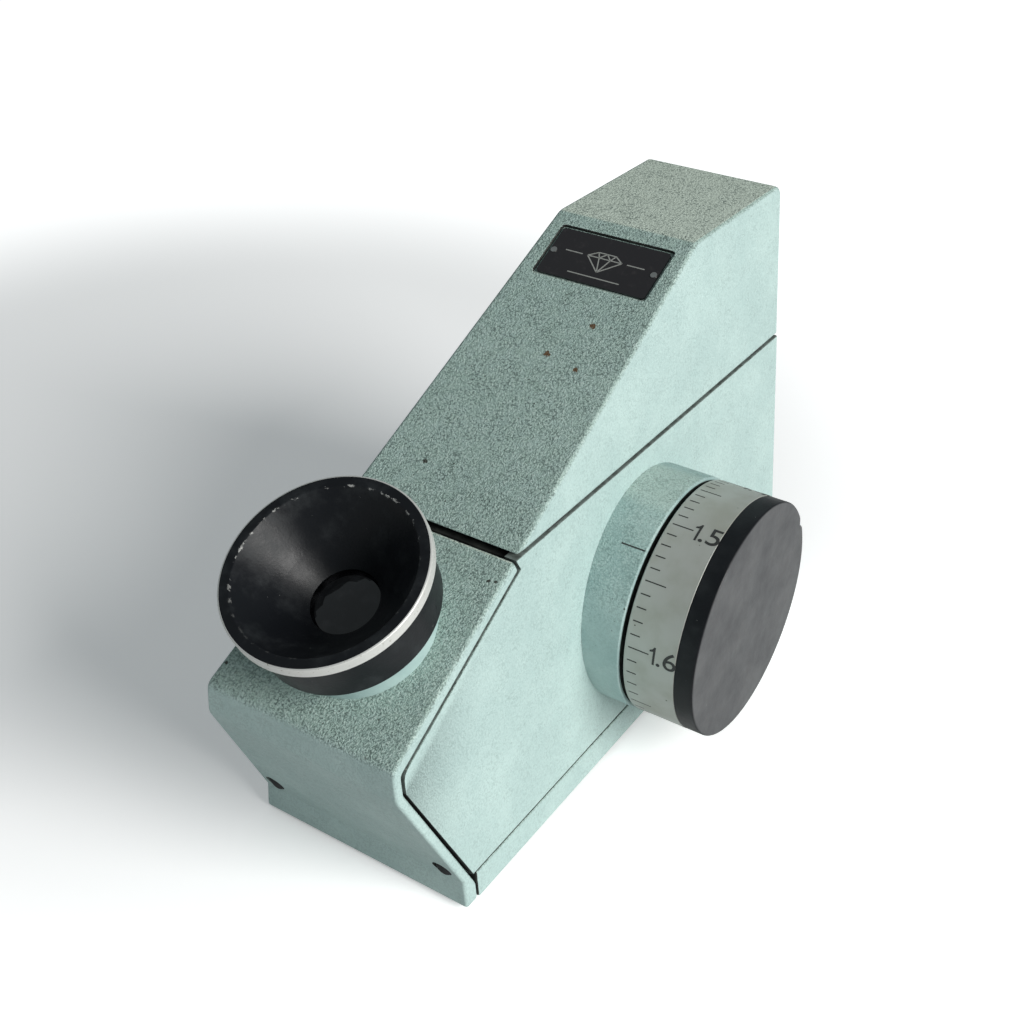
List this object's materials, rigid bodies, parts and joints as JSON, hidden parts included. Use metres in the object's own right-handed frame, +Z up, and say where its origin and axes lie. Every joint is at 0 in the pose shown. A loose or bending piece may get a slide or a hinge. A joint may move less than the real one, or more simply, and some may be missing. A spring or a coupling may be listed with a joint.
{
  "type": "dial gem refractometer",
  "caption": "Wedge-shaped metal gem refractometer: round eyepiece on the front slope, hinged hood over the stone table, graduated drum on the right side.",
  "frame": {"origin": "centre of the resting face, on the underside of the rubber pad", "axes": "+X to the side that carries the dial, +Y from the eyepiece to the back, +Z up"},
  "size_m": [0.0718, 0.1612, 0.1008],
  "materials": {
    "enamel": "crinkle duck-egg enamel, worn at the edges",
    "deck_enamel": "matt grey-black",
    "black_anodised": "black satin, worn to bare metal on the rim",
    "cap_enamel": "satin grey face, black edge",
    "drum_silver": "fine turned satin with black scale",
    "blackened_steel": "matt black",
    "steel": "bright",
    "brass": "turned",
    "rubber": "matt",
    "optical_glass": "polished",
    "amber_glass": "polished",
    "mirror": "polished",
    "plate_black": "gloss black"
  },
  "bodies": {
    "case": {"base_plate": "enamel", "base_pad": "rubber", "front_cover": "enamel", "side_panel_right": "enamel", "side_panel_left": "enamel", "rear_panel": "enamel", "window_frame": "blackened_steel", "light_filter": "amber_glass", "stage_deck": "deck_enamel", "contact_plate": "steel", "table_prism": "optical_glass", "prism_cradle": "blackened_steel", "deck_pillars": "steel", "deck_screws": "steel", "front_screws": "steel", "base_screws": "steel", "rear_screws": "steel", "lid_buffers": "rubber", "hinge_leaf_case": "steel", "hinge_pin": "steel", "hinge_screws_case": "steel", "dial_barrel": "enamel", "barrel_screws": "steel", "shaft_bush_outer": "brass", "shaft_bush_inner": "brass", "bearing_bracket": "blackened_steel", "friction_washer": "brass", "lever_pivot": "steel", "lever_bracket": "blackened_steel", "fold_mirror": "mirror", "mirror_bracket": "blackened_steel", "objective_lens": "optical_glass", "objective_holder": "blackened_steel", "eyepiece_boss": "enamel", "boss_nut": "black_anodised"},
    "lid": {"lid_shell": "enamel", "name_plate": "plate_black", "plate_pins": "steel", "hinge_leaf_lid": "steel", "hinge_screws_lid": "steel"},
    "dial": {"dial_shaft": "steel", "shaft_clip": "blackened_steel", "dial_drum": "drum_silver", "drum_screw": "steel", "dial_cap": "cap_enamel", "index_cam": "brass", "cam_screw": "steel"},
    "lever": {"follower_lever": "blackened_steel", "follower_pin": "steel", "shadow_blade": "blackened_steel", "return_spring": "steel"},
    "eyepiece": {"eyecup": "black_anodised", "eyepiece_tube": "black_anodised", "eye_lens": "optical_glass", "lens_retainer": "black_anodised", "lens_spacer": "black_anodised", "field_lens": "optical_glass", "tube_end_ring": "black_anodised"}
  },
  "joints": [
    {"name": "lid_hinge", "type": "hinge", "parent": "case", "child": "lid", "pos_m": [0, 0.0696, 0.0653], "axis": [-1, 0, 0], "range_deg": [0, 100]},
    {"name": "dial_turn", "type": "hinge", "parent": "case", "child": "dial", "pos_m": [0, 0.0023, 0.0348], "axis": [-1, 0, 0], "range_deg": [-69, 224]},
    {"name": "index_lever", "type": "hinge", "parent": "case", "child": "lever", "pos_m": [0, -0.0437, 0.0157], "axis": [-1, 0, 0], "range_deg": [-2, 6.3]},
    {"name": "eyepiece_focus", "type": "slide", "parent": "case", "child": "eyepiece", "axis": [0, -0.4509, 0.8926], "range_m": [-0.0045, 0.003]}
  ],
  "couplings": [
    {"joint": "index_lever", "follows": "dial_turn", "ratio": 0.027778}
  ]
}
